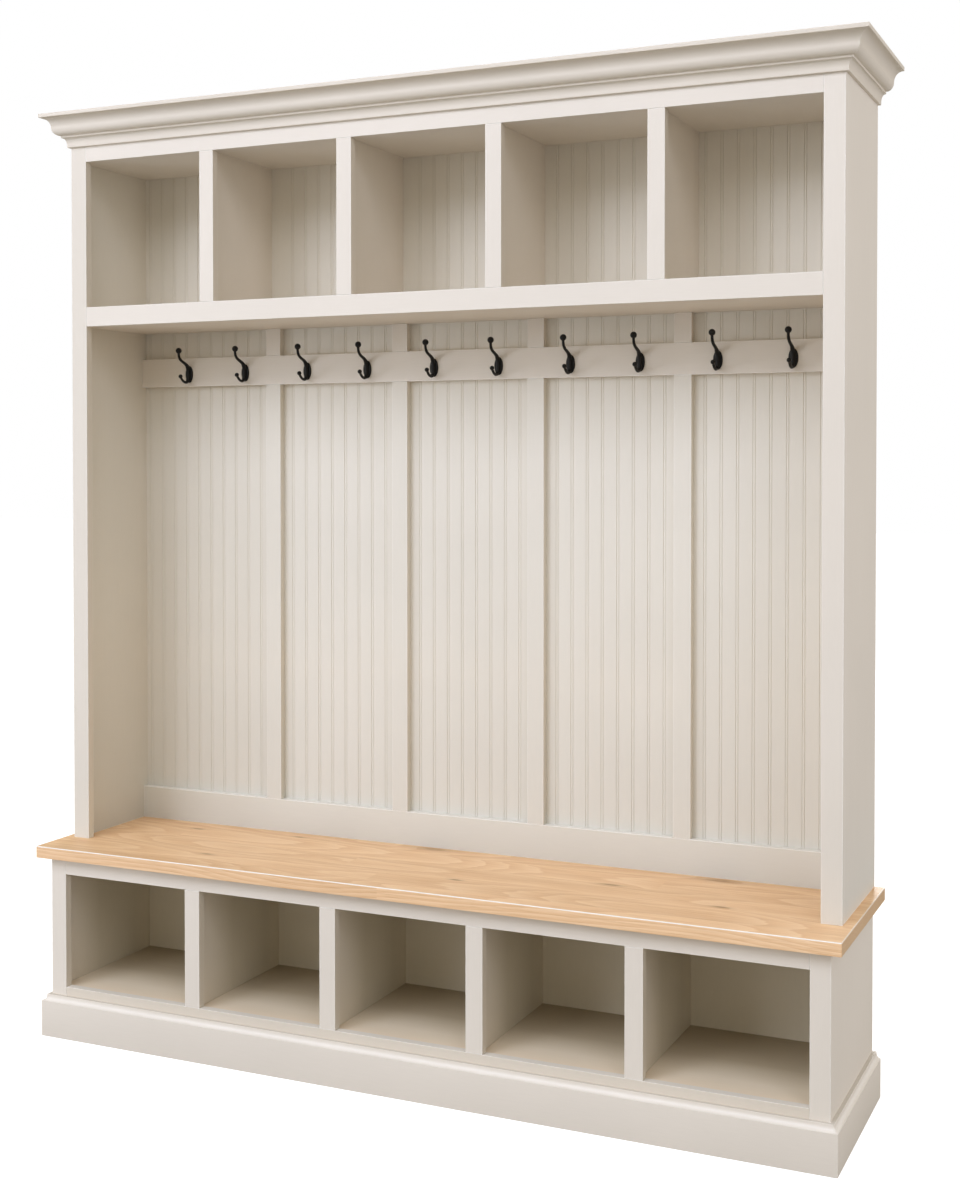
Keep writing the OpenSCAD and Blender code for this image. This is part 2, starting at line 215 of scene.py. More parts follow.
def painted_board(name, brushed, arris_share=0.9, ledge_share=0.0, near_bench=None, inner=None,
                  shade=(1.0, 1.0, 1.0), shaded_top=False):
    """Satin paint laid off by brush along the board, over a fine grain. It has a painted highlight on the
    arrises and on upward ledges, by a share each. It may have painted shade near the bench, painted shade
    and light inside the base, painted shade all over and on a flat top."""
    material, tree, shader = new_material(name)
    along = object_coordinates(tree, brushed)
    even = object_coordinates(tree)
    cloud = ramp(tree, noise(tree, even, 2.2, 2.0), [(0.3, 0.975), (0.7, 1.02)])
    strokes = noise(tree, along, 60.0, 4.0, 0.6)
    stroke_tone = ramp(tree, strokes, [(0.25, 0.985), (0.75, 1.012)])
    # shade darkens the whole paint of some boards: painted shade
    base = tuple(part * channel for part, channel in zip(shade, PAINT))
    colour = multiplied(tree, base, cloud, stroke_tone)
    # Painted shade low above the bench
    if near_bench:
        colour = multiplied(tree, colour, bench_shade_tone(tree, even, near_bench))
    # Painted shade and light inside the base
    if inner:
        colour = multiplied(tree, colour, inner_shading(tree, even, inner))

    normal = node(tree, "ShaderNodeNewGeometry").outputs["Normal"]
    up = node(tree, "ShaderNodeSeparateXYZ", {"Vector": normal}).outputs["Z"]
    # Painted highlight: upward ledges and arrises are mixed towards a paler paint, by a share each
    highlight_share = math_node(tree, "MULTIPLY", ramp(tree, up, [(0.12, 0.0), (0.5, 1.0)]), ledge_share)
    if arris_share:
        on_arris = math_node(tree, "MULTIPLY", arris_mask(tree, normal), arris_share)
        highlight_share = math_node(tree, "MAXIMUM", on_arris, highlight_share)
    colour = mix(tree, highlight_share, colour, PAINT_HIGHLIGHT)
    # Painted shade on a flat top
    if shaded_top:
        colour = mix(tree, ramp(tree, up, [(0.97, 0.0), (0.995, 1.0)]), colour, PAINT_TOP_SHADE)
    tree.links.new(colour, shader.inputs["Base Color"])

    shine = ramp(tree, noise(tree, along, 24.0, 3.0), [(0.3, 0.50), (0.7, 0.60)])
    tree.links.new(shine, shader.inputs["Roughness"])
    orange_peel = noise(tree, even, 420.0, 2.0)
    height = math_node(tree, "ADD", math_node(tree, "MULTIPLY", strokes, 0.6),
                       math_node(tree, "MULTIPLY", orange_peel, 0.4))
    bumped(tree, shader, height, 0.10, 0.0006)
    return material


# ---------------------------------------------------------------- metal and softwood

def black_metal():
    """Satin black powder coat with a fine texture, rubbed a little brighter in patches."""
    material, tree, shader = new_material("black_metal")
    even = object_coordinates(tree)
    cloud = noise(tree, even, 130.0, 3.0)
    tone = ramp(tree, cloud, [(0.35, (0.004, 0.0038, 0.0036)), (0.7, (0.008, 0.0076, 0.0072))])
    tree.links.new(tone, shader.inputs["Base Color"])
    shine = ramp(tree, noise(tree, even, 60.0, 2.0), [(0.3, 0.30), (0.7, 0.42)])
    tree.links.new(shine, shader.inputs["Roughness"])
    shader.inputs["Specular IOR Level"].default_value = 0.24
    bumped(tree, shader, noise(tree, even, 1500.0, 2.0), 0.15, 0.0002)
    return material


def softwood():
    """Planed pine with straight grain along the board."""
    material, tree, shader = new_material("raw_softwood")
    along = object_coordinates(tree, (0.06, 1, 1))
    rings = node(tree, "ShaderNodeTexWave", {
        "Vector": along, "Scale": 26.0, "Distortion": 9.0, "Detail": 3.0, "Detail Scale": 1.4,
    }, wave_type="BANDS", bands_direction="Z")
    tone = ramp(tree, rings.outputs["Fac"], [(0.2, (0.66, 0.47, 0.27)), (0.8, (0.78, 0.61, 0.39))])
    tree.links.new(tone, shader.inputs["Base Color"])
    shader.inputs["Roughness"].default_value = 0.72
    bumped(tree, shader, noise(tree, along, 300.0, 3.0), 0.2, 0.0004)
    return material


def zinc():
    """Zinc-plated steel, faintly mottled."""
    material, tree, shader = new_material("zinc_screw")
    even = object_coordinates(tree)
    tone = ramp(tree, noise(tree, even, 300.0, 3.0), [(0.3, (0.55, 0.56, 0.55)), (0.7, (0.70, 0.70, 0.66))])
    tree.links.new(tone, shader.inputs["Base Color"])
    shader.inputs["Metallic"].default_value = 1.0
    shader.inputs["Roughness"].default_value = 0.35
    return material


# ---------------------------------------------------------------- oak

STAVE_W = 0.0908
STAVE_LENGTH = 1.25
RING = 0.0105
# How far the log's heart lies beside the stave's middle and under its top, and how far the rings wobble
HEART_ASIDE = 0.05
HEART_UNDER = 0.05
HEART_SWAY = 0.16
RING_WOBBLE = 0.008
# Small knots in the bench's top face: place along X and Y, and half length along the grain, in metres
KNOTS = [
    (-0.55, -0.125, 0.014), (-0.44, 0.116, 0.012), (-0.08, 0.138, 0.034), (0.09, -0.100, 0.012),
    (0.42, 0.001, 0.019), (0.63, 0.136, 0.036), (0.69, -0.074, 0.014), (-0.72, 0.090, 0.014),
]
KNOT_SLENDERNESS = 3.2
# Colour across one ring: paler and paler from its dark edge, then dark again where the next one starts
RING_COLOURS = [
    (0.0, (0.830, 0.530, 0.300)), (0.45, (0.885, 0.590, 0.348)), (0.80, (0.930, 0.642, 0.396)),
    (0.93, (0.945, 0.665, 0.420)), (1.0, (0.830, 0.530, 0.300)),
]
STAVE_TONES = [(0.0, (0.955, 0.935, 0.915)), (0.5, (1.0, 1.0, 1.0)), (1.0, (1.03, 1.035, 1.04))]
BROAD_TONES = [(0.32, (0.93, 0.905, 0.875)), (0.62, (1.03, 1.03, 1.03))]
PORE_TONES = [(0.34, (0.87, 0.82, 0.76)), (0.5, (1.0, 1.0, 1.0)), (0.7, (1.03, 1.03, 1.03))]
# Painted shade towards the bench's back edge: (share of depth, tone)
REAR_SHADE = [(0.60, (1.0, 1.0, 1.0)), (0.95, (0.93, 0.905, 0.88))]
KNOT_COLOUR = (0.37, 0.205, 0.095)
END_GRAIN = (0.60, 0.40, 0.23)
SANDED_HIGHLIGHT = (0.97, 0.90, 0.81)


def oak():
    """Lacquered oak staves, sawn from different logs: their rings show as arches, lines and end grain."""
    material, tree, shader = new_material("oak_bench")
    low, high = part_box("bench_top")
    coordinates = node(tree, "ShaderNodeTexCoord").outputs["Object"]
    split = node(tree, "ShaderNodeSeparateXYZ", {"Vector": coordinates}).outputs

    def calc(operation, a, b=0.0):
        return math_node(tree, operation, a, b)

    across = calc("MULTIPLY", split["Y"], 1 / STAVE_W)
    stave = calc("FLOOR", across)
    in_stave = calc("MULTIPLY", calc("SUBTRACT", calc("FRACT", across), 0.5), STAVE_W)
    shift = node(tree, "ShaderNodeTexWhiteNoise", {"W": stave}, noise_dimensions="1D").outputs["Value"]
    along = calc("ADD", split["X"], calc("MULTIPLY", shift, STAVE_LENGTH))
    block = calc("FLOOR", calc("MULTIPLY", along, 1 / STAVE_LENGTH))
    cell = node(tree, "ShaderNodeCombineXYZ", {0: stave, 1: block}).outputs[0]
    random = node(tree, "ShaderNodeTexWhiteNoise", {"Vector": cell}, noise_dimensions="2D").outputs["Color"]
    chance = node(tree, "ShaderNodeSeparateColor", {"Color": random}).outputs

    # The rings lie around the log's heart, which wanders along the stave and deeper or nearer under it
    own_x = calc("ADD", split["X"], calc("MULTIPLY", chance["Red"], 17.0))
    own_y = calc("MULTIPLY", chance["Green"], 9.0)
    run = node(tree, "ShaderNodeCombineXYZ", {0: own_x, 1: own_y}).outputs[0]
    sway = noise(tree, run, 1.1, 1.5)
    drift = noise(tree, run, 2.0, 1.0)
    off_centre = calc("ADD", calc("SUBTRACT", chance["Green"], 0.5), calc("SUBTRACT", drift, 0.5))
    heart_y = calc("MULTIPLY", off_centre, HEART_ASIDE)
    depth = calc("ADD", calc("MULTIPLY", chance["Blue"], HEART_UNDER), calc("MULTIPLY", sway, HEART_SWAY))
    dy = calc("SUBTRACT", in_stave, heart_y)
    dz = calc("ADD", calc("SUBTRACT", split["Z"], high.z), depth)
    radius = calc("SQRT", calc("ADD", calc("MULTIPLY", dy, dy), calc("MULTIPLY", dz, dz)))
    fibre = node(tree, "ShaderNodeMapping", {"Vector": coordinates, "Scale": (0.7, 11, 11)}).outputs[0]
    wobble = calc("MULTIPLY", noise(tree, fibre, 4.0, 3.0), RING_WOBBLE)
    knot_mask = 0.0
    swell = 0.0
    for x, y, half in KNOTS:
        kx = calc("MULTIPLY", calc("SUBTRACT", split["X"], x), 1 / half)
        ky = calc("MULTIPLY", calc("SUBTRACT", split["Y"], y), KNOT_SLENDERNESS / half)
        far = calc("ADD", calc("MULTIPLY", kx, kx), calc("MULTIPLY", ky, ky))
        core = calc("DIVIDE", 1.0, calc("ADD", far, 1.0))
        knot_mask = calc("MAXIMUM", knot_mask, core)
        swell = calc("ADD", swell, calc("MULTIPLY", core, half))
    radius = calc("ADD", calc("ADD", radius, wobble), calc("MULTIPLY", swell, 0.8))
    ring = calc("FRACT", calc("MULTIPLY", radius, 1 / RING))

    broad = noise(tree, fibre, 1.1, 3.0)
    hair = node(tree, "ShaderNodeMapping", {"Vector": coordinates, "Scale": (9, 330, 330)}).outputs[0]
    pores = noise(tree, hair, 1.0, 4.0, 0.7)
    behind = calc("SUBTRACT", split["Y"], low.y)
    # Painted shade: the oak darkens towards its back edge
    rearward = calc("DIVIDE", behind, high.y - low.y)
    colour = multiplied(
        tree, ramp(tree, ring, RING_COLOURS), ramp(tree, chance["Red"], STAVE_TONES),
        ramp(tree, broad, BROAD_TONES), ramp(tree, pores, PORE_TONES), ramp(tree, rearward, REAR_SHADE),
    )
    dark_streak = ramp(tree, knot_mask, [(0.10, 0.0), (0.42, 0.50), (0.8, 1.0)])
    broken = ramp(tree, noise(tree, hair, 0.5, 2.0), [(0.3, 1.0), (0.7, 0.55)])
    colour = mix(tree, calc("MULTIPLY", dark_streak, broken), colour, KNOT_COLOUR)

    # End grain drinks more lacquer; the arrises are paler, as sanded wear and a painted highlight
    facing = node(tree, "ShaderNodeSeparateXYZ", {
        "Vector": node(tree, "ShaderNodeNewGeometry").outputs["Normal"]}).outputs["X"]
    end_grain = ramp(tree, calc("ABSOLUTE", facing), [(0.6, 0.0), (0.9, 1.0)])
    colour = mix(tree, calc("MULTIPLY", end_grain, 0.75), colour, END_GRAIN)
    below = calc("SUBTRACT", high.z, split["Z"])
    inside = calc("SUBTRACT", high.x, calc("ABSOLUTE", split["X"]))
    front_arris = ramp(tree, calc("MULTIPLY", calc("ADD", below, behind), 100), [(0.15, 1.0), (0.25, 0.0)])
    end_arris = ramp(tree, calc("MULTIPLY", calc("ADD", below, inside), 100), [(0.15, 0.6), (0.25, 0.0)])
    colour = mix(tree, calc("MAXIMUM", front_arris, end_arris), colour, SANDED_HIGHLIGHT)

    tree.links.new(colour, shader.inputs["Base Color"])
    tree.links.new(ramp(tree, pores, [(0.3, 0.56), (0.6, 0.42)]), shader.inputs["Roughness"])
    height = calc("ADD", calc("MULTIPLY", pores, 0.7), calc("MULTIPLY", ring, 0.3))
    bumped(tree, shader, height, 0.10, 0.0004)
    return material


# ---------------------------------------------------------------- materials

# Some paints below carry painted highlights and painted shade, set by their arguments
MATERIALS = {
    "paint_up": painted_board("painted_upright", BRUSHED_UP),
    "paint_across": painted_board("painted_rail", BRUSHED_ACROSS),
    "paint_panel": painted_board("painted_panel", BRUSHED_UP, arris_share=0.0, near_bench=BENCH_SHADE_BACK),
    "paint_batten": painted_board("painted_batten", BRUSHED_UP, near_bench=BENCH_SHADE_BACK),
    "paint_foot": painted_board("painted_foot_rail", BRUSHED_ACROSS, ledge_share=0.55, near_bench=BENCH_SHADE_BACK),
    "paint_post": painted_board("painted_post", BRUSHED_UP, near_bench=BENCH_SHADE_POST),
    "paint_left": painted_board("painted_left_post", BRUSHED_UP, near_bench=BENCH_SHADE_POST,
                                shade=(0.95, 0.95, 0.94)),
    "paint_inner": painted_board("painted_inner", BRUSHED_UP, arris_share=0.0, inner=INNER_WALL_SHADING),
    "paint_floor": painted_board("painted_floor", BRUSHED_ACROSS, inner=INNER_FLOOR_SHADING),
    "paint_sill": painted_board("painted_sill", BRUSHED_ACROSS, arris_share=0.0, ledge_share=0.6,
                                shade=(0.93, 0.915, 0.885)),
    "paint_crown": painted_board("painted_crown", BRUSHED_ACROSS, arris_share=0.0,
                                 shade=(0.94, 0.93, 0.905)),
    "paint_plinth": painted_board("painted_plinth", BRUSHED_ACROSS, arris_share=0.0, ledge_share=0.35,
                                  shaded_top=True),
    "oak": oak(),
    "black": black_metal(),
    "softwood": softwood(),
    "zinc": zinc(),
}


def finish(piece, material):
    piece.data.materials.clear()
    piece.data.materials.append(MATERIALS[material])


# ---------------------------------------------------------------- boards

EASED = 0.8
BENCH_EASED = 1.6


def ease_arrises(piece, width, corners_only):
    """Rounds a board's arrises. On a drilled board only the edges between its outer corners are rounded."""
    weld = piece.modifiers.new("weld", "WELD")
    weld.merge_threshold = 1e-5
    flats = piece.modifiers.new("flats", "DECIMATE")
    flats.decimate_type = "DISSOLVE"
    flats.angle_limit = math.radians(1)
    bevel = piece.modifiers.new("eased", "BEVEL")
    bevel.width = width
    bevel.segments = 3
    bevel.miter_outer = "MITER_ARC"
    bevel.harden_normals = True
    if corners_only:
        group = piece.vertex_groups.new(name="outer_corners")
        low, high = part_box(piece.name)
        at_corner = [
            v.index for v in piece.data.vertices
            if all(min(abs(v.co[k] - low[k]), abs(v.co[k] - high[k])) < 1e-5 for k in range(3))
        ]
        group.add(at_corner, 1.0, "REPLACE")
        bevel.limit_method = "VGROUP"
        bevel.vertex_group = group.name
    else:
        bevel.limit_method = "ANGLE"
        bevel.angle_limit = math.radians(40)
    normals = piece.modifiers.new("normals", "WEIGHTED_NORMAL")
    normals.keep_sharp = True


SPECIAL_PAINT = {
    "foot_rail": "paint_foot", "base_floor": "paint_floor", "base_bottom_rail": "paint_sill",
    "base_left_side": "paint_inner", "base_right_side": "paint_inner", "base_back": "paint_inner",
    "hutch_left_side": "paint_batten", "hutch_right_side": "paint_post",
    "hutch_left_stile": "paint_left", "hutch_right_stile": "paint_post",
}
for i in range(1, 5):
    SPECIAL_PAINT[f"lower_batten_{i}"] = "paint_batten"
    SPECIAL_PAINT[f"base_divider_{i}"] = "paint_inner"
for name in HORIZONTAL_PAINT:
    finish(NODES[name], SPECIAL_PAINT.get(name, "paint_across"))
for name in VERTICAL_PAINT:
    finish(NODES[name], SPECIAL_PAINT.get(name, "paint_up"))
for name in SOFTWOOD:
    finish(NODES[name], "softwood")
for name in HORIZONTAL_PAINT + VERTICAL_PAINT + SOFTWOOD:
    ease_arrises(NODES[name], EASED * MM, name in DRILLED)
finish(NODES["bench_top"], "oak")
ease_arrises(NODES["bench_top"], BENCH_EASED * MM, True)
finish(NODES["hutch_dowels"], "softwood")
finish(NODES["bench_screws"], "zinc")

# ---------------------------------------------------------------- sections and meshes

def arc(centre, radii, start, end, steps=12):
    """Points (out, up) of an elliptic arc from one angle to another, in degrees."""
    turns = [math.radians(start + (end - start) * i / steps) for i in range(steps + 1)]
    return [(centre[0] + radii[0] * math.cos(a), centre[1] + radii[1] * math.sin(a)) for a in turns]


def eased(corner, before, after, radius, steps=4):
    """The rounded corner between two straight edges of a section, as points."""
    corner, before, after = Vector(corner), Vector(before), Vector(after)
    start = corner + (before - corner).normalized() * radius
    end = corner + (after - corner).normalized() * radius
    points = [
        start * (1 - t) ** 2 + corner * 2 * t * (1 - t) + end * t ** 2
        for t in (i / steps for i in range(steps + 1))
    ]
    return [(p.x, p.y) for p in points]


def make_piece(name, mesh, material, slot, *replaced):
    piece = bpy.data.objects.new(name, mesh)
    bpy.context.scene.collection.objects.link(piece)
    finish(piece, material)
    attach(piece, "root")
    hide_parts(*replaced)
    return piece


def mesh_from(bm, name, sharp_angle=32):
    """A closed mesh with smooth faces, and sharp edges where it turns by more than an angle."""
    bmesh.ops.recalc_face_normals(bm, faces=bm.faces)
    for face in bm.faces:
        face.smooth = True
    for edge in bm.edges:
        edge.smooth = edge.calc_face_angle(0) < math.radians(sharp_angle)
    mesh = bpy.data.meshes.new(name)
    bm.to_mesh(mesh)
    bm.free()
    return mesh


def moulding(name, section, start, end):
    """A run of a section between two ends. An end turns (out, up) in mm into a place in metres."""
    bm = bmesh.new()
    rings = [[bm.verts.new(place(out * MM, up * MM)) for out, up in section] for place in (start, end)]
    count = len(section)
    for i in range(count):
        j = (i + 1) % count
        bm.faces.new((rings[0][i], rings[0][j], rings[1][j], rings[1][i]))
    bm.faces.new(rings[0])
    bm.faces.new(reversed(rings[1]))
    paint = "paint_" + name.split("_")[0]
    make_piece(name + "_moulded", mesh_from(bm, name), paint, "painted_board", name)


def mitred_mouldings(kind, section, side_x, face_y, base_z, wall_y):
    """Front, left and right runs of a moulding on a body's faces, mitred at the front corners."""
    def corner(side):
        return lambda out, up: (side * (side_x + out), face_y - out, base_z + up)

    def at_wall(side):
        return lambda out, up: (side * (side_x + out), wall_y, base_z + up)

    moulding(kind + "_front", section, corner(-1), corner(1))
    moulding(kind + "_left", section, corner(-1), at_wall(-1))
    moulding(kind + "_right", section, corner(1), at_wall(1))


# ---------------------------------------------------------------- mouldings

def crown_section(height, out):
    """Fillet, cove, step, ogee and top fillet of the crown, as (out, up) in mm."""
    fillet_out, fillet_h = 7, 6
    cove_out = 16
    step_out, step_z, step_h = 17.5, 23, 5
    ogee_out, bend_out, bend_z = 18.5, 34, 46
    lip_out, lip_z = 53, 69
    return (
        [(0, 0)]
        + eased((fillet_out, 0), (0, 0), (fillet_out, fillet_h), 1.5)
        + arc((cove_out, fillet_h), (cove_out - fillet_out, step_z - fillet_h), 180, 90)
        + eased((step_out, step_z), (0, step_z), (step_out, height), 0.7)
        + [(step_out, step_z + step_h)]
        + arc((ogee_out, bend_z), (bend_out - ogee_out, bend_z - step_z - step_h), 270, 360)[1:]
        + arc((lip_out, bend_z), (lip_out - bend_out, lip_z - bend_z), 180, 90, 16)[1:]
        + eased((out, lip_z), (lip_out, lip_z), (out, height), 0.8)
        + eased((out, height), (out, lip_z), (0, height), 1.2)
        + [(0, height)]
    )


def plinth_section(height, out):
    """Plain face, cove and ledge of the plinth, as (out, up) in mm."""
    ledge, cove_h, lip_h = 9, 12, 2
    cove_top = height - lip_h
    cove_foot = cove_top - cove_h
    return (
        [(0, 0)]
        + eased((out, 0), (0, 0), (out, height), 1.0)
        + eased((out, cove_foot), (out, 0), (ledge, cove_foot), 0.8)
        + arc((out, cove_top), (out - ledge, cove_h), 265, 180)
        + eased((ledge, height), (ledge, cove_top), (0, height), 0.8)
        + [(0, height)]
    )


wall_y = cad_high[1]
crown_low, crown_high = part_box("crown_front")
crown_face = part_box("hutch_top_rail")[0].y
crown_size = ((crown_high.z - crown_low.z) / MM, (crown_face - crown_low.y) / MM)
mitred_mouldings("crown", crown_section(*crown_size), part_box("hutch_right_side")[1].x, crown_face,
                 crown_low.z, wall_y)
plinth_low, plinth_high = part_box("plinth_front")
plinth_size = ((plinth_high.z - plinth_low.z) / MM, (BASE_FRONT - plinth_low.y) / MM)
mitred_mouldings("plinth", plinth_section(*plinth_size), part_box("base_right_side")[1].x, BASE_FRONT,
                 plinth_low.z, wall_y)

# ---------------------------------------------------------------- backs of boards

BAYS = 5
BATTEN_PITCH = 356
JOINT_PITCH = 37.4
JOINTS_PER_BAY = 8
JOINTS_PAST_BAYS = 2
BEAD_HALF, BEAD_HEIGHT, BEAD_BELOW = 2.5, 1.0, 0.12
BEAD_ROUND = 0.97
QUIRK_W, QUIRK_DEPTH = 0.8, 1.5
QUIRK_SLOPE, QUIRK_EASE = 0.3, 0.2


def joint_places():
    """The same set of joints in each bay between battens, and a few more at each end, in mm."""
    last = (JOINTS_PER_BAY - 1) / 2
    half = BAYS // 2
    bays = [
        bay * BATTEN_PITCH + (j - last) * JOINT_PITCH
        for bay in range(-half, half + 1) for j in range(JOINTS_PER_BAY)
    ]
    more = [half * BATTEN_PITCH + (last + j) * JOINT_PITCH for j in range(1, JOINTS_PAST_BAYS + 1)]
    return sorted(bays + more + [-x for x in more])


def bead(x, steps=8):
    """The joint between two boards: a round bead with a narrow quirk on each side, as (x, depth) in mm."""
    crown = []
    for i in range(steps + 1):
        share = 2 * i / steps - 1
        drop = 1 - math.sqrt(1 - (BEAD_ROUND * share) ** 2)
        crown.append((x + BEAD_HALF * share, BEAD_BELOW + BEAD_HEIGHT * drop))
    edge = x - BEAD_HALF - QUIRK_W
    left = [(edge - QUIRK_SLOPE, 0.0), (edge, QUIRK_EASE), (x - BEAD_HALF - QUIRK_SLOPE, QUIRK_DEPTH)]
    right = [(2 * x - px, depth) for px, depth in reversed(left)]
    return left + crown + right


def boarded_back(name):
    """A back of upright boards with a bead between them, from top to bottom."""
    low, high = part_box(name)
    outline = [(low.x / MM, 0)]
    for x in joint_places():
        outline += bead(x)
    outline.append((high.x / MM, 0))
    bm = bmesh.new()
    front = [
        [bm.verts.new((x * MM, low.y + depth * MM, z)) for x, depth in outline] for z in (low.z, high.z)
    ]
    back = [[bm.verts.new((x, high.y, z)) for x in (low.x, high.x)] for z in (low.z, high.z)]
    for i in range(len(outline) - 1):
        bm.faces.new((front[0][i], front[0][i + 1], front[1][i + 1], front[1][i]))
    bm.faces.new((back[0][1], back[0][0], back[1][0], back[1][1]))
    bm.faces.new((back[0][0], front[0][0], front[1][0], back[1][0]))
    bm.faces.new((front[0][-1], back[0][1], back[1][1], front[1][-1]))
    for front_row, back_row in zip(front, back):
        bm.faces.new(front_row + [back_row[1], back_row[0]])
    make_piece(name + "_boards", mesh_from(bm, name, 25), "paint_panel", "painted_board", name)


boarded_back("hanging_back")
boarded_back("cubby_back")

# ---------------------------------------------------------------- coat hooks

HOOK_RISE = 31
HOOK_PAIR_PITCH = 350
HOOK_SPACING = 169
HOOK_SCREW_X = 7.4
PLATE_W, PLATE_H, PLATE_T = 22, 43.5, 3.6
HOOK_VOXEL = 0.5

# Centreline of the hook's bar, out of the rail and up from the plate's centre, with the radius there, in mm
HOOK_BAR = [
    (39.8, -7.8, 3.1), (36.2, -12.4, 3.1), (30.0, -17.4, 3.2), (22.0, -20.8, 3.3), (14.2, -20.8, 3.8),
    (8.6, -17.2, 4.8), (6.4, -10.0, 5.2), (6.0, 0.0, 5.2), (6.4, 10.5, 5.1), (9.4, 19.0, 5.0),
    (15.8, 24.4, 4.2), (26.0, 28.6, 3.8), (37.0, 33.3, 3.6), (44.6, 39.6, 3.4), (47.8, 47.6, 3.2),
    (48.2, 56.0, 3.2),
]
BALLS = [((48.0, 57.8), 7.6), ((40.2, -7.0), 5.3)]


def smooth_path(points, steps=6):
    """Catmull-Rom points through (out, up, radius) points."""
    ends = [points[0]] + points + [points[-1]]
    path = []
    for a, b, c, d in zip(ends, ends[1:], ends[2:], ends[3:]):
        a, b, c, d = (Vector(p) for p in (a, b, c, d))
        for i in range(steps):
            t = i / steps
            path.append(0.5 * (2 * b + (c - a) * t + (2 * a - 5 * b + 4 * c - d) * t ** 2
                               + (3 * b - a - 3 * c + d) * t ** 3))
    return path + [Vector(points[-1])]


def add_tube(bm, points, sides=20):
    """A closed round tube along (out, up, radius) points, in the plane across the rail."""
    path = smooth_path(points)
    rings = []
    for i, point in enumerate(path):
        ahead = path[min(i + 1, len(path) - 1)] - path[max(i - 1, 0)]
        across = Vector((ahead.y, -ahead.x)).normalized()
        ring = []
        for k in range(sides):
            angle = 2 * math.pi * k / sides
            offset = across * point.z * math.cos(angle)
            sideways = point.z * math.sin(angle)
            ring.append(bm.verts.new((sideways, -(point.x + offset.x), point.y + offset.y)))
        rings.append(ring)
    for low_ring, high_ring in zip(rings, rings[1:]):
        for k in range(sides):
            n = (k + 1) % sides
            bm.faces.new((low_ring[k], low_ring[n], high_ring[n], high_ring[k]))
    bm.faces.new(rings[0])
    bm.faces.new(rings[-1])


def add_plate(bm, sides=64):
    """The oval plate: flat at the back, rounded at its rim and slightly crowned."""
    profile = [(1.0, 0.0), (1.0, 0.45), (0.985, 0.62), (0.93, 0.82), (0.84, 0.92), (0.6, 0.98), (0.3, 1.0)]
    rings = []
    for share, depth in profile:
        inset = (1 - share) * PLATE_W / 2
        half_w, half_h = PLATE_W / 2 - inset, PLATE_H / 2 - inset
        rings.append([
            bm.verts.new((half_w * math.cos(a), -depth * PLATE_T, half_h * math.sin(a)))
            for a in (2 * math.pi * k / sides for k in range(sides))
        ])
    for inner, outer in zip(rings[1:], rings):
        for k in range(sides):
            n = (k + 1) % sides
            bm.faces.new((outer[k], outer[n], inner[n], inner[k]))
    bm.faces.new(rings[0])
    bm.faces.new(rings[-1])


def applied(mesh, name, *modifiers):
    """A mesh with modifiers applied, each given as (type, settings)."""
    carrier = bpy.data.objects.new(name, mesh)
    bpy.context.scene.collection.objects.link(carrier)
    for kind, settings in modifiers:
        modifier = carrier.modifiers.new(kind, kind)
        for key, value in settings.items():
            setattr(modifier, key, value)
    depsgraph = bpy.context.evaluated_depsgraph_get()
    result = bpy.data.meshes.new_from_object(carrier.evaluated_get(depsgraph))
    bpy.data.objects.remove(carrier)
    return result


def one_hook():
    """One casting, in mm, with its plate's back on the plane y = 0: all its limbs melted into one skin."""
    bm = bmesh.new()
    add_plate(bm)
    add_tube(bm, HOOK_BAR)
    for (out, up), radius in BALLS:
        bmesh.ops.create_uvsphere(bm, u_segments=32, v_segments=20, radius=radius,
                                  matrix=Matrix.Translation((0, -out, up)))
    bmesh.ops.recalc_face_normals(bm, faces=bm.faces)
    raw = bpy.data.meshes.new("hook_raw")
    bm.to_mesh(raw)
    bm.free()
    return applied(
        raw, "hook_carrier",
        ("REMESH", {"mode": "VOXEL", "voxel_size": HOOK_VOXEL}),
        ("SMOOTH", {"factor": 0.5, "iterations": 6}),
        ("DECIMATE", {"ratio": 0.35}),
    )


def one_screw(head_r=2.6, head_t=1.5, sides=24):
    """A raised countersunk head with a cross recess, in mm, with its underside on the plane y = 0."""
    bm = bmesh.new()
    profile = [(1.0, 0.0), (1.0, 0.18), (0.9, 0.5), (0.7, 0.78), (0.4, 0.95)]
    rings = [[
        bm.verts.new((share * head_r * math.cos(a), -depth * head_t, share * head_r * math.sin(a)))
        for a in (2 * math.pi * k / sides for k in range(sides))
    ] for share, depth in profile]
    for inner, outer in zip(rings[1:], rings):
        for k in range(sides):
            n = (k + 1) % sides
            bm.faces.new((outer[k], outer[n], inner[n], inner[k]))
    bm.faces.new(rings[0])
    bm.faces.new(rings[-1])
    bmesh.ops.recalc_face_normals(bm, faces=bm.faces)
    head = bpy.data.meshes.new("screw_raw")
    bm.to_mesh(head)
    bm.free()
    cutter_bm = bmesh.new()
    for turn in (0, 90):
        size = Matrix.Diagonal((0.55 * head_r * 2, head_t, 0.17 * head_r * 2, 1))
        place = Matrix.Translation((0, -head_t * 0.95, 0)) @ Matrix.Rotation(math.radians(turn), 4, "Y")
        bmesh.ops.create_cube(cutter_bm, size=1, matrix=place @ size)
    cutter_mesh = bpy.data.meshes.new("recess")
    cutter_bm.to_mesh(cutter_mesh)
    cutter_bm.free()
    cutter = bpy.data.objects.new("recess", cutter_mesh)
    bpy.context.scene.collection.objects.link(cutter)
    cut = applied(
        head, "screw_carrier",
        ("BOOLEAN", {"object": cutter, "solver": "EXACT", "use_self": True}),
    )
    bpy.data.objects.remove(cutter)
    return cut


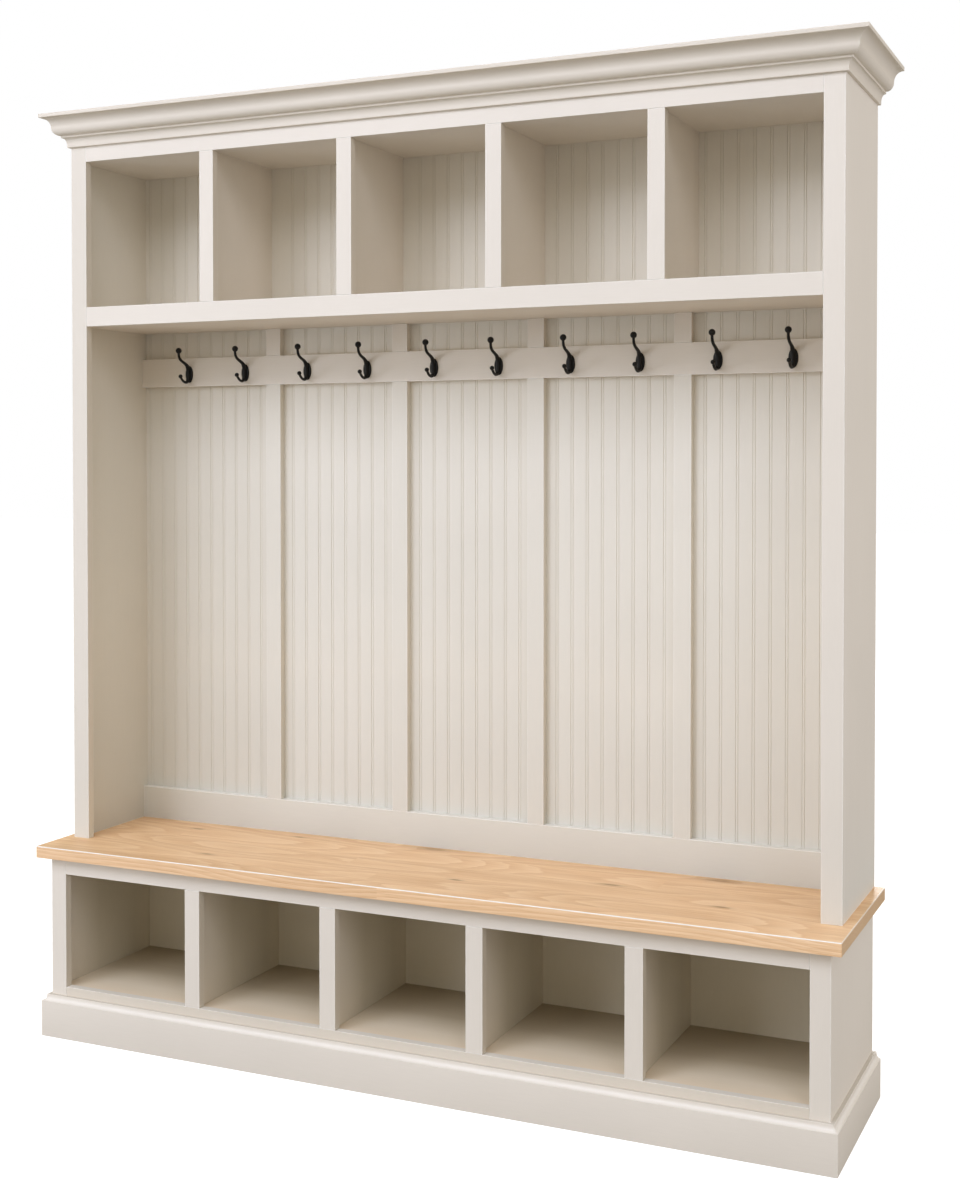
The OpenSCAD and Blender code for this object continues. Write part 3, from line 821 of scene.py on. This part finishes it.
def repeated(mesh, places, name, sharp_angle):
    """Copies of a mesh in mm, at places in metres with a turn about Y, as one mesh."""
    bm = bmesh.new()
    for place, turn in places:
        start = len(bm.verts)
        bm.from_mesh(mesh)
        bm.verts.ensure_lookup_table()
        matrix = Matrix.Translation(place) @ Matrix.Rotation(turn, 4, "Y") @ Matrix.Scale(MM, 4)
        bmesh.ops.transform(bm, matrix=matrix, verts=bm.verts[start:])
    return mesh_from(bm, name, sharp_angle)


rail_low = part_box("hook_rail")[0]
hook_z = rail_low.z + HOOK_RISE * MM
hook_xs = [
    (bay * HOOK_PAIR_PITCH + side * HOOK_SPACING / 2) * MM
    for bay in range(-(BAYS // 2), BAYS // 2 + 1) for side in (-1, 1)
]
hook_places = [(Vector((x, rail_low.y, hook_z)), 0.0) for x in hook_xs]
# The screws are sunk a little in the plate, and each one came to rest at another turn
screw_y = rail_low.y - 0.85 * PLATE_T * MM
screw_places = [
    (Vector((x + side * HOOK_SCREW_X * MM, screw_y, hook_z)), 1.7 * x + side)
    for x in hook_xs for side in (-1, 1)
]
make_piece("coat_hooks_cast", repeated(one_hook(), hook_places, "coat_hooks_cast", 60),
           "black", "black_metal", "coat_hooks")
make_piece("hook_screw_heads", repeated(one_screw(), screw_places, "hook_screw_heads", 35),
           "black", "black_metal", "hook_screws")

# ---------------------------------------------------------------- stage, light and camera

FLOOR_GREY = (0.35, 0.345, 0.335, 1)
FLOOR_GLOW = 0.97


def make_floor():
    """A pale floor that the camera sees near white, and that sends little light back up."""
    bpy.ops.mesh.primitive_plane_add(size=60, location=(0, 0, 0))
    floor = bpy.context.object
    floor.name = "floor"
    material, tree, shader = new_material("floor_white")
    shader.inputs["Base Color"].default_value = FLOOR_GREY
    shader.inputs["Roughness"].default_value = 1.0
    shader.inputs["Specular IOR Level"].default_value = 0.0
    shader.inputs["Emission Color"].default_value = (1, 1, 1, 1)
    seen = node(tree, "ShaderNodeLightPath").outputs["Is Camera Ray"]
    tree.links.new(math_node(tree, "MULTIPLY", seen, FLOOR_GLOW), shader.inputs["Emission Strength"])
    floor.data.materials.append(material)


def area_light(name, location, target, size, power, colour):
    data = bpy.data.lights.new(name, "AREA")
    data.shape = "RECTANGLE"
    data.size, data.size_y = size
    data.energy = power
    data.color = colour
    light = bpy.data.objects.new(name, data)
    bpy.context.scene.collection.objects.link(light)
    light.location = location
    light.rotation_euler = (Vector(target) - Vector(location)).to_track_quat("-Z", "Y").to_euler()


def make_world(colour, strength):
    """White where the camera looks past the object, dimmer as a source of light."""
    world = bpy.data.worlds.new("studio")
    world.use_nodes = True
    tree = world.node_tree
    background = tree.nodes["Background"]
    seen = node(tree, "ShaderNodeLightPath").outputs["Is Camera Ray"]
    tree.links.new(mix(tree, seen, colour, (1, 1, 1)), background.inputs["Color"])
    brightness = node(tree, "ShaderNodeMapRange", {"Value": seen, 3: strength, 4: 1.0}).outputs[0]
    tree.links.new(brightness, background.inputs["Strength"])
    bpy.context.scene.world = world


CAMERA_PLACE = (1.6156, -3.352, 1.3855)
CAMERA_DROP, CAMERA_TURN = 1.067, 24.268
CAMERA_LENS, CAMERA_SHIFT = 48.65, -0.0872


def make_camera():
    """A view from the right at the height of the hanging space, turned and dropped by angles in degrees."""
    data = bpy.data.cameras.new("camera")
    camera = bpy.data.objects.new("camera", data)
    bpy.context.scene.collection.objects.link(camera)
    camera.location = CAMERA_PLACE
    camera.rotation_euler = (math.radians(90 - CAMERA_DROP), 0, math.radians(CAMERA_TURN))
    data.sensor_width = 36
    data.lens = CAMERA_LENS
    data.shift_y = CAMERA_SHIFT
    bpy.context.scene.camera = camera


def warm_shadows():
    """Standard view, with green and blue a little lower in the shadows, as warm paint looks there."""
    view = bpy.context.scene.view_settings
    view.view_transform = "Standard"
    view.use_curve_mapping = True
    for channel, points in ((1, [(0.20, 0.196)]), (2, [(0.12, 0.109), (0.30, 0.280)])):
        curve = view.curve_mapping.curves[channel]
        for x, y in points:
            curve.points.new(x, y)
    view.curve_mapping.update()


FRONT_TINT = (0.92, 0.99, 1.20)
RIGHT_TINT = (0.94, 0.98, 1.18)
BACK_TINT = (1, 1, 1)
# Name, place and target in metres, size in metres, power in watts, colour
LIGHTS = [
    ("key", (-4.8, -8.6, 4.2), (0, 0, 1.0), (5.0, 5.0), 210, FRONT_TINT),
    ("key_high", (-3.6, -6.4, 6.6), (0, 0, 1.0), (4.0, 4.0), 100, FRONT_TINT),
    ("top", (-0.4, -4.8, 5.2), (0, 0, 1.1), (4.0, 3.0), 114, FRONT_TINT),
    ("left_low", (-5.5, -3.6, 0.5), (0, 0, 0.4), (2.0, 1.0), 62, FRONT_TINT),
    ("low", (-1.0, -6.0, 0.5), (0, 0, 0.8), (5.0, 0.9), 13, FRONT_TINT),
    ("right", (5.5, 0.9, 2.0), (0.9, 0, 1.1), (2.2, 3.0), 86, RIGHT_TINT),
    ("front_right", (4.2, -4.4, 5.8), (0, 0, 1.1), (3.0, 3.0), 72, RIGHT_TINT),
    ("mid_right", (4.6, -4.2, 2.4), (0, 0, 1.4), (2.0, 2.0), 21, RIGHT_TINT),
    ("back", (-1.9, 7.0, 2.6), (0, 0, 1.1), (4.0, 3.0), 300, BACK_TINT),
]
WORLD_COLOUR = (1.0, 0.93, 0.74)
WORLD_STRENGTH = 0.43

make_floor()
make_world(WORLD_COLOUR, WORLD_STRENGTH)
for light in LIGHTS:
    area_light(*light)
make_camera()
warm_shadows()
